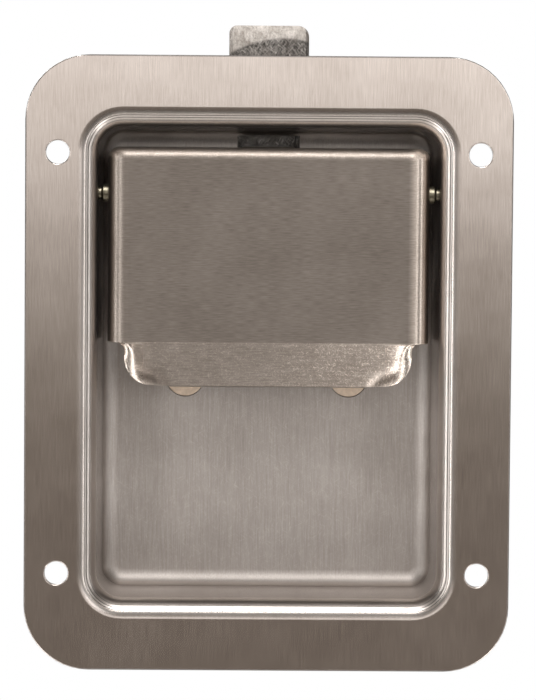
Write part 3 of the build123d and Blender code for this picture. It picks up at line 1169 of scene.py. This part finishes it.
@dataclass
class Bolt:
    """The cast slam bolt, with a ground bevel on its nose whose foot is an arc.

    The pocket is in its front, for the paddle's tongue, and the slot in its back takes the
    housing's stop.
    """

    ramp_height: float = 9.3
    tip_length: float = 2.8
    bevel_depth: float = 0.9
    bevel_height: float = 2.6
    left_corner: float = 1.5
    right_corner: float = 2.2
    side_chamfer: float = 0.7
    arc_radius: float = 20.0
    arc_middle: float = 3.0
    pocket_side_gap: float = 0.3
    pocket_back: float = 24.56
    pocket_low: float = 40.9
    pocket_high: float = 53.19
    slot_front: float = 26.2
    slot_half_width: float = 2.7
    slot_low: float = 33.8
    slot_high: float = 46.9
    bore_radius: float = 3.5
    wear: float = 0.18
    wear_segments: int = 2
    wear_angle: float = radians(25)
    corner_steps: int = 6
    width_steps: int = 8
    box: NodeBox = field(default_factory=lambda: NodeBox.of("bolt"))

    def profile(self, x: float) -> Ring:
        """The bolt's outline in the YZ plane at a place across it.

        Args:
            x: The place across the bolt.

        Returns:
            Six places, starting at the foot of the front face.
        """
        (left, front, bottom), (right, back, tip) = self.box.low, self.box.high
        corner = self.left_corner if x < 0 else self.right_corner
        into = corner - (x - left if x < 0 else right - x)
        drop = corner - sqrt(corner ** 2 - into ** 2) if into > 0 else 0.0
        edge = self.side_chamfer - (x - left if x < 0 else right - x)
        chamfer = edge if edge > 0 else 0.0
        arc_drop = self.arc_radius - sqrt(self.arc_radius ** 2 - (x - self.arc_middle) ** 2)
        foot = tip - self.bevel_height - arc_drop
        return [
            (x, front + chamfer, bottom),
            (x, front + chamfer, foot),
            (x, front + self.bevel_depth, tip - drop),
            (x, front + self.bevel_depth + self.tip_length, tip - drop),
            (x, back, tip - self.ramp_height - drop),
            (x, back, bottom),
        ]

    def stations(self) -> list[float]:
        """Places across the bolt where its outline is taken, close together at its corners."""
        left, right = self.box.low[0], self.box.high[0]
        places = {left, left + self.side_chamfer, right - self.side_chamfer, right}
        for angle in sweep(0.0, pi / 2, self.corner_steps)[1:]:
            places.add(left + self.left_corner * (1 - cos(angle)))
            places.add(right - self.right_corner * (1 - cos(angle)))
        for i in range(1, self.width_steps):
            places.add(left + (right - left) * i / self.width_steps)
        return sorted(places)

    def build(self) -> Piece:
        """Builds the bolt.

        Returns:
            The piece, not dressed yet.
        """
        mesh = bmesh.new()
        rows = skin(mesh, [self.profile(x) for x in self.stations()], closed=True)
        mesh.faces.new(rows[0])
        mesh.faces.new(rows[-1])
        piece = make_piece("cast_bolt", mesh)
        (_, front, bottom), (_, back, _) = self.box.low, self.box.high
        half = TONGUE_WIDTH / 2 + self.pocket_side_gap
        spring = NodeBox.of("bolt_spring")
        bore = [(self.bore_radius, bottom - OVERCUT), (self.bore_radius, spring.high[2])]
        cut(piece, [
            block(
                "pocket", (-half, front - OVERCUT, self.pocket_low),
                (half, self.pocket_back, self.pocket_high),
            ),
            block(
                "stop_slot", (-self.slot_half_width, self.slot_front, self.slot_low),
                (self.slot_half_width, back + OVERCUT, self.slot_high),
            ),
            turned("bore", bore, spring.centre, Axis.Z),
        ])
        worn = piece.modifiers.new("worn_edges", "BEVEL")
        worn.width = self.wear * MM
        worn.segments = self.wear_segments
        worn.limit_method = "ANGLE"
        worn.angle_limit = self.wear_angle
        bake(piece)
        smooth(piece)
        return piece

    def dress(self, piece: Piece) -> None:
        """Gives the bolt its finish and its body."""
        # Nickel-plated die casting, tumbled: rough and grey, ground on the nose's bevel, which is
        # brightened as a painted highlight, and darkened below the nose as painted shade.
        finish = CastMetal(
            name="nickel_plated_casting", colour="8E8A86", shade="67625D", roughness=0.55,
            grain_depth=0.09, mottle=2.2, bevel_foot=self.box.high[2] - self.bevel_height,
            bevel_middle=self.arc_middle, bevel_back=self.box.low[1] + self.bevel_depth,
            arc_radius=self.arc_radius,
        )
        ride(piece, Body.BOLT, finish.material(), Slot.BOLT, "bolt")


# ---------------------------------------------------------------- what repeats or follows a path


class SizedTree:
    """A Geometry Nodes tree with named sizes, in metres, made a plain mesh when it is used."""

    def __init__(self, name: str, sizes: dict[str, float]) -> None:
        """Starts the tree.

        Args:
            name: Name of the tree and of its piece.
            sizes: The tree's named inputs in millimetres.
        """
        self.name = name
        self.sizes = sizes
        self.tree = bpy.data.node_groups.new(name, "GeometryNodeTree")
        interface = self.tree.interface
        interface.new_socket("Geometry", in_out="INPUT", socket_type="NodeSocketGeometry")
        for label in sizes:
            interface.new_socket(label, in_out="INPUT", socket_type="NodeSocketFloat")
        interface.new_socket("Geometry", in_out="OUTPUT", socket_type="NodeSocketGeometry")
        self.entry = add_node(self.tree, "NodeGroupInput")

    def size(self, label: str) -> Socket:
        """The socket of a named size."""
        return self.entry.outputs[label]

    def add(self, kind: str, inputs: dict | None = None, **settings) -> bpy.types.Node:
        """Adds a node to the tree."""
        return add_node(self.tree, kind, inputs, **settings)

    def joined(self, parts: Sequence[Socket]) -> Socket:
        """Joins several geometries."""
        join = self.add("GeometryNodeJoinGeometry")
        for part in parts:
            self.tree.links.new(part, join.inputs[0])
        return join.outputs[0]

    def piece(self, result: Socket, material: Material) -> Piece:
        """Ends the tree, evaluates it and returns a plain mesh object.

        Args:
            result: The geometry to keep.
            material: The piece's only material.

        Returns:
            The piece, with no modifier left.
        """
        real = self.add("GeometryNodeRealizeInstances", {0: result})
        self.add("NodeGroupOutput", {0: real.outputs[0]})
        carrier = bpy.data.objects.new(self.name, bpy.data.meshes.new(self.name))
        bpy.context.scene.collection.objects.link(carrier)
        modifier = carrier.modifiers.new("tree", "NODES")
        modifier.node_group = self.tree
        for item in self.tree.interface.items_tree:
            if item.in_out == "INPUT" and item.name in self.sizes:
                modifier[item.identifier] = self.sizes[item.name] * MM
        bake(carrier)
        carrier.data.materials.clear()
        carrier.data.materials.append(material)
        carrier.data.shade_smooth()
        carrier.data.set_sharp_from_angle(angle=SMOOTH_LIMIT)
        return carrier


@dataclass
class Rivets:
    """Four flush-headed rivets through the pan floor and the housing.

    The upset tail has a straight rim, and then a dome that closes in by dome_closing of its square.
    """

    head_radius: float = 3.75
    head_edge: float = 0.12
    shank_radius: float = 2.0
    tail_radius: float = 3.1
    tail_height: float = 1.2
    tail_rim: float = 0.4
    dome_steps: int = 5
    dome_closing: float = 0.7
    weld: float = 1e-3

    def build(self) -> Piece:
        """Builds all four rivets.

        Returns:
            The piece, with its finish.
        """
        low, high = NodeBox.of(RIVET_NODES[0]), NodeBox.of(RIVET_NODES[-1])
        front, back = low.low[1], low.high[1]
        spacing = high.centre - low.centre
        middle = (high.centre + low.centre) / 2
        tree = SizedTree("rivets", {
            "Spacing": spacing.x, "Pitch": spacing.z, "Head Radius": self.head_radius,
            "Head Face Radius": self.head_radius - self.head_edge, "Shank Radius": self.shank_radius,
            "Tail Radius": self.tail_radius,
        })
        tail_start = back - self.tail_height
        dome_start = tail_start + self.tail_rim
        dome_height = back - dome_start
        steps = [
            ("Head Face Radius", "Head Radius", front, front + self.head_edge),
            ("Head Radius", "Head Radius", front + self.head_edge, front + SHEET),
            ("Shank Radius", "Shank Radius", front + SHEET, tail_start),
            ("Tail Radius", "Tail Radius", tail_start, dome_start),
        ]
        parts = [self.frustum(tree, tree.size(a), tree.size(b), start, end) for a, b, start, end in steps]
        for i in range(self.dome_steps):
            near, far = i / self.dome_steps, (i + 1) / self.dome_steps
            closings = [sqrt(1 - share ** 2 * self.dome_closing) for share in (near, far)]
            radii = [calc(tree.tree, "MULTIPLY", tree.size("Tail Radius"), share) for share in closings]
            parts.append(self.frustum(
                tree, *radii, dome_start + dome_height * near, dome_start + dome_height * far
            ))
        one = tree.add("GeometryNodeMergeByDistance", {
            "Geometry": tree.joined(parts), "Distance": self.weld * MM,
        })
        grid = tree.add("GeometryNodeMeshGrid", {
            "Size X": tree.size("Spacing"), "Size Y": tree.size("Pitch"), "Vertices X": 2, "Vertices Y": 2,
        })
        placed = tree.add("GeometryNodeInstanceOnPoints", {
            "Points": grid.outputs[0], "Instance": one.outputs[0],
        })
        upright = tree.add("GeometryNodeTransform", {
            "Geometry": placed.outputs[0],
            "Translation": (middle.x * MM, 0.0, middle.z * MM),
            "Rotation": (-pi / 2, 0.0, 0.0),
        })
        return tree.piece(upright.outputs[0], RIVET_FINISH.material())

    def dress(self, piece: Piece) -> None:
        """Ties the rivets to the pan."""
        ride(piece, Body.PAN, piece.data.materials[0], Slot.RIVET, *RIVET_NODES)

    @staticmethod
    def frustum(
        tree: SizedTree, start_radius: Socket, end_radius: Socket, start: float, end: float
    ) -> Socket:
        """A length of the rivet between two places along its axis.

        Args:
            tree: The rivets' tree.
            start_radius: Radius at its start.
            end_radius: Radius at its end.
            start: Where it starts, in millimetres.
            end: Where it ends.

        Returns:
            Its geometry.
        """
        cone = tree.add("GeometryNodeMeshCone", {
            "Vertices": TURN_STEPS, "Radius Top": end_radius, "Radius Bottom": start_radius,
            "Depth": (end - start) * MM,
        })
        moved = tree.add("GeometryNodeTransform", {
            "Geometry": cone.outputs["Mesh"], "Translation": (0.0, 0.0, start * MM),
        })
        return moved.outputs[0]


@dataclass
class Springs:
    """The bolt's compression spring and the paddle's torsion spring.

    A leg is the depth and the height of its end. The compression spring has a closed turn at each end.
    bolt_keep, the share of its length that it keeps when the bolt is all the way down, is not used.
    """

    bolt_wire: float = 0.8
    bolt_turns: float = 11.0
    paddle_wire: float = 1.0
    paddle_turns: float = 5.0
    coil_radius: float = 3.4
    front_leg: tuple[float, float] = (1.7, 39.4)
    rear_leg: tuple[float, float] = (15.8, 36.1)
    bolt_keep: float = 0.7016
    steps_per_turn: int = 28
    leg_points: int = 8

    def build(self) -> tuple[Piece, Piece]:
        """Builds both springs.

        Returns:
            The compression spring and the torsion spring, with their finish.
        """
        wire = WIRE_FINISH.material()
        return self.bolt_spring(wire), self.paddle_spring(wire)

    def coil(self, tree: SizedTree, turns: float, height: Socket, lift: float) -> Socket:
        """A coil of wire along Z.

        Args:
            tree: The spring's tree, which has sizes Coil Radius and Wire Radius.
            turns: Number of turns.
            height: How far it climbs.
            lift: Where it starts, in metres.

        Returns:
            The coil's geometry.
        """
        path = tree.add("GeometryNodeCurveSpiral", {
            "Resolution": self.steps_per_turn, "Rotations": turns, "Height": height,
            "Start Radius": tree.size("Coil Radius"), "End Radius": tree.size("Coil Radius"),
        })
        moved = tree.add("GeometryNodeTransform", {
            "Geometry": path.outputs[0], "Translation": (0.0, 0.0, lift),
        })
        return self.wire(tree, moved.outputs[0])

    @staticmethod
    def wire(tree: SizedTree, path: Socket) -> Socket:
        """Wire along a path."""
        ring = tree.add("GeometryNodeCurvePrimitiveCircle", {
            "Resolution": WIRE_STEPS, "Radius": tree.size("Wire Radius"),
        })
        swept = tree.add("GeometryNodeCurveToMesh", {
            "Curve": path, "Profile Curve": ring.outputs[0], "Fill Caps": True,
        })
        return swept.outputs[0]

    def bolt_spring(self, material: Material) -> Piece:
        """The compression spring, with a closed turn at each end."""
        box = NodeBox.of("bolt_spring")
        radius = (box.high[0] - box.low[0]) / 2 - self.bolt_wire / 2
        length = box.high[2] - box.low[2]
        tree = SizedTree("compression_spring", {
            "Coil Radius": radius, "Wire Radius": self.bolt_wire / 2,
            "Open Height": length - 3 * self.bolt_wire, "Closed Height": self.bolt_wire,
        })
        closed = tree.size("Closed Height")
        parts = [
            self.coil(tree, 1.0, closed, 0.0),
            self.coil(tree, self.bolt_turns, tree.size("Open Height"), self.bolt_wire * MM),
            self.coil(tree, 1.0, closed, (length - 2 * self.bolt_wire) * MM),
        ]
        placed = tree.add("GeometryNodeTransform", {
            "Geometry": tree.joined(parts),
            "Translation": tuple(
                v * MM for v in (box.centre.x, box.centre.y, box.low[2] + self.bolt_wire / 2)
            ),
        })
        return tree.piece(placed.outputs[0], material)

    def paddle_spring(self, material: Material) -> Piece:
        """The torsion spring, with one leg on the paddle and one on the pan floor."""
        box = NodeBox.of("paddle_spring")
        pin = NodeBox.of("pivot_pin").centre
        radius = self.coil_radius - self.paddle_wire / 2
        start, end = box.low[0] + self.paddle_wire / 2, box.high[0] - self.paddle_wire / 2
        tree = SizedTree("torsion_spring", {
            "Coil Radius": radius, "Wire Radius": self.paddle_wire / 2, "Coil Height": end - start,
        })
        round_pin = tree.add("GeometryNodeTransform", {
            "Geometry": self.coil(tree, self.paddle_turns, tree.size("Coil Height"), 0.0),
            "Translation": (start * MM, pin.y * MM, pin.z * MM),
            "Rotation": (0.0, pi / 2, 0.0),
        })
        parts = [round_pin.outputs[0]]
        for x, side, (depth, height) in ((start, -1, self.front_leg), (end, 1, self.rear_leg)):
            line = tree.add("GeometryNodeCurvePrimitiveLine", {
                "Start": (x * MM, (pin.y + side * radius) * MM, pin.z * MM),
                "End": (x * MM, depth * MM, height * MM),
            })
            fine = tree.add("GeometryNodeResampleCurve", {
                "Curve": line.outputs[0], "Count": self.leg_points,
            })
            parts.append(self.wire(tree, fine.outputs[0]))
        return tree.piece(tree.joined(parts), material)

    def dress(self, pieces: tuple[Piece, Piece]) -> None:
        """Ties the compression spring to the pan and gives it its own mesh; the torsion spring stays where
        it is, with its transform applied.

        Args:
            pieces: The compression spring and the torsion spring.
        """
        bolt_spring, paddle_spring = pieces
        box = NodeBox.of("bolt_spring")
        ride(bolt_spring, Body.PAN, bolt_spring.data.materials[0], Slot.SPRING, "bolt_spring")
        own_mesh(bolt_spring)
        coil = NodeBox.of("paddle_spring")
        pin = NodeBox.of("pivot_pin").centre
        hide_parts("paddle_spring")
        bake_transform(paddle_spring)
        LOG.info("%s: winds between the pan and the paddle", paddle_spring.name)


@dataclass
class Fittings:
    """CAD nodes whose shape stays: the housing, the pivot pin and the spring guide."""

    finishes: dict[str, Finish] = field(default_factory=lambda: {
        "bolt_housing": ZINC_FINISH, "pivot_pin": PIN_FINISH, "spring_guide": ZINC_FINISH,
    })

    def dress(self) -> None:
        """Gives each kept node its finish."""
        for node, finish in self.finishes.items():
            slots = frame["nodes"][node].data.materials
            slots.clear()
            slots.append(finish.material())
            LOG.info("%s: kept, %s", node, finish.name)


# ---------------------------------------------------------------- studio


@dataclass(frozen=True)
class Softbox:
    """A rectangular light that faces the latch: its place and size in metres, its power in watts."""

    name: str
    place: Place
    width: float
    height: float
    power: float

    def add(self) -> None:
        """Adds the light to the scene."""
        data = bpy.data.lights.new(self.name, "AREA")
        data.shape = "RECTANGLE"
        data.size = self.width
        data.size_y = self.height
        data.energy = self.power
        light = bpy.data.objects.new(self.name, data)
        light.location = self.place
        light.rotation_euler = (-Vector(self.place)).to_track_quat("-Z", "Y").to_euler()
        bpy.context.scene.collection.objects.link(light)


@dataclass
class Studio:
    """Camera, lights, surroundings and floor.

    The camera's distance and the floor's sizes are in metres. Surroundings hold what the steel
    reflects, from below to above, as the sine of an elevation and a grey. They dim towards the
    sides over side_span, which is the share of a direction that points sideways.
    """

    azimuth: float = radians(-0.7)
    elevation: float = radians(4)
    distance: float = 0.8
    roll: float = radians(0.45)
    frame_height: float = 137.1
    aim: Place = (0.0, 0.0, 2.82)
    sensor: float = 36.0
    floor_height: float = -0.35
    floor_radius: float = 0.6
    floor_sides: int = 96
    floor_colour: str = "ECEAE7"
    floor_roughness: float = 0.8
    brightness: float = 1.8
    side_dimming: float = 0.3
    side_span: Span = (0.35, 0.8)
    surroundings: Sequence[tuple[float, str]] = (
        (-1.0, "453F3A"), (-0.3, "5E5751"), (-0.14, "645D57"), (-0.1, "5C554F"), (-0.06, "60594F"),
        (-0.04, "7C756F"), (-0.027, "E0DBD7"), (0.02, "E2DDDA"), (0.1, "CCC7C3"), (0.2, "7A7570"),
        (1.0, "7A7570"),
    )
    # The strips come in pairs, so that a polished bend shows two bright lines side by side.
    softboxes: Sequence[Softbox] = (
        Softbox("key", (0.0, -0.62, 0.79), 0.4, 0.5, 6.2),
        Softbox("right_fill", (0.45, -1.5, 0.3), 0.5, 0.4, 2.0),
        Softbox("left_strip", (-0.92, -0.28, -0.2), 0.1, 1.3, 3.2),
        Softbox("left_strip_front", (-0.72, -0.78, -0.2), 0.16, 1.3, 3.6),
        Softbox("right_strip", (0.92, -0.28, -0.2), 0.1, 1.3, 1.8),
        Softbox("right_strip_front", (0.72, -0.78, -0.2), 0.16, 1.3, 2.2),
        Softbox("back_fill", (-0.5, 1.3, 0.7), 0.8, 0.6, 12.0),
        Softbox("left_low", (-0.24, -0.22, -0.32), 0.22, 0.16, 0.5),
        Softbox("right_low", (0.24, -0.22, -0.32), 0.22, 0.16, 0.5),
    )

    def camera(self) -> None:
        """Adds the camera."""
        data = bpy.data.cameras.new("camera")
        data.sensor_width = self.sensor
        data.lens = self.sensor * self.distance / (self.frame_height * MM)
        camera = bpy.data.objects.new("camera", data)
        bpy.context.scene.collection.objects.link(camera)
        target = Vector(self.aim) * MM
        level = cos(self.elevation)
        away = Vector((sin(self.azimuth) * level, -cos(self.azimuth) * level, sin(self.elevation)))
        turn = (-away).to_track_quat("-Z", "Y").to_matrix().to_4x4()
        camera.matrix_world = (
            Matrix.Translation(target + away * self.distance) @ turn @ Matrix.Rotation(self.roll, 4, "Z")
        )
        bpy.context.scene.camera = camera

    def world(self) -> None:
        """Surroundings: pale above, darker below, and plain white behind the object."""
        world = bpy.data.worlds.new("studio")
        bpy.context.scene.world = world
        world.use_nodes = True
        tree = world.node_tree
        tree.nodes.clear()
        way = add_node(tree, "ShaderNodeTexCoord").outputs["Generated"]
        axes = add_node(tree, "ShaderNodeSeparateXYZ", {"Vector": way})
        share = remap(tree, axes.outputs["Z"], (-1.0, 1.0))
        ramp = add_node(tree, "ShaderNodeValToRGB", {"Fac": share})
        stops = ramp.color_ramp.elements
        while len(stops) < len(self.surroundings):
            stops.new(0.5)
        for stop, (height, grey) in zip(stops, self.surroundings):
            stop.position = (height + 1) / 2
            stop.color = linear(grey)
        strength = remap(
            tree, calc(tree, "ABSOLUTE", axes.outputs["X"]), self.side_span,
            (self.brightness, self.brightness * self.side_dimming),
        )
        lit = add_node(tree, "ShaderNodeBackground", {"Color": ramp.outputs[0], "Strength": strength})
        plain = add_node(tree, "ShaderNodeBackground", {"Color": (1.0, 1.0, 1.0, 1.0), "Strength": 1.0})
        ray = add_node(tree, "ShaderNodeLightPath")
        mix = add_node(
            tree, "ShaderNodeMixShader",
            {0: ray.outputs["Is Camera Ray"], 1: lit.outputs[0], 2: plain.outputs[0]},
        )
        add_node(tree, "ShaderNodeOutputWorld", {"Surface": mix.outputs[0]})

    def floor(self) -> None:
        """Adds the pale floor, well below the latch."""
        mesh = bmesh.new()
        radius = self.floor_radius / MM
        bmesh.ops.create_circle(mesh, cap_ends=True, radius=radius, segments=self.floor_sides)
        bmesh.ops.translate(mesh, vec=(0, 0, self.floor_height / MM), verts=mesh.verts)
        floor = make_piece("floor", mesh, outward=False)
        material = bpy.data.materials.new("matt_white_board")
        material.use_nodes = True
        shader = material.node_tree.nodes["Principled BSDF"]
        shader.inputs["Base Color"].default_value = linear(self.floor_colour)
        shader.inputs["Roughness"].default_value = self.floor_roughness
        floor.data.materials.append(material)

    def build(self) -> None:
        """Sets up the whole studio."""
        self.camera()
        self.world()
        for softbox in self.softboxes:
            softbox.add()
        self.floor()
        bpy.context.scene.view_settings.view_transform = "Standard"


def main() -> None:
    """Sets up the studio, then builds and dresses every sub-assembly."""
    logging.basicConfig(level=logging.INFO, format="%(name)s: %(message)s")
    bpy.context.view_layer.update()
    Studio().build()
    for assembly in (Pan(), Paddle(), Bolt(), Rivets(), Springs()):
        assembly.dress(assembly.build())
    Fittings().dress()


if __name__ == "__main__":
    main()
